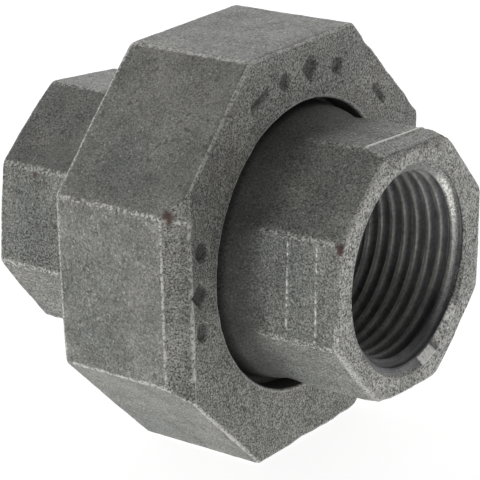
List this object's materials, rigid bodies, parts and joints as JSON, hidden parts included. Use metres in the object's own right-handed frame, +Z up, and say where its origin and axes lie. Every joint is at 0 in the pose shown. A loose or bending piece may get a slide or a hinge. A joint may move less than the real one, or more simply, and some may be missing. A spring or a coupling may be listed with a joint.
{
  "type": "pipe union",
  "caption": "Octagonal ground-joint pipe union that joins two threaded pipes and comes apart at its nut, with female taper-thread sockets at both ends.",
  "frame": {"origin": "on the pipe axis, halfway between the two end faces", "axes": "+X along the pipe axis out of the tail piece's socket, -X out of the thread piece's socket, +Z up out of one flat of the nut, which rests on the opposite flat"},
  "size_m": [0.0666, 0.066, 0.066],
  "materials": {
    "thread_piece_iron": "sand-cast, dark oxide skin, machined threads",
    "seat_brass": "turned",
    "tail_piece_iron": "sand-cast, dark oxide skin, machined threads",
    "nut_iron": "sand-cast, dark oxide skin, worn edges"
  },
  "bodies": {
    "thread_end": {"thread_piece": "thread_piece_iron", "brass_seat": "seat_brass"},
    "tail_end": {"tail_piece": "tail_piece_iron"},
    "nut": {"union_nut": "nut_iron"}
  },
  "joints": [
    {"name": "draw_off", "type": "slide", "parent": "thread_end", "child": "tail_end", "axis": [1, 0, 0], "range_m": [0, 0.00915]},
    {"name": "nut_turn", "type": "hinge", "parent": "tail_end", "child": "nut", "pos_m": [0.0019, 0, 0], "axis": [1, 0, 0], "range_deg": [0, 1296]}
  ],
  "couplings": [
    {"joint": "draw_off", "follows": "nut_turn", "m_per_rad": 0.00040425}
  ]
}
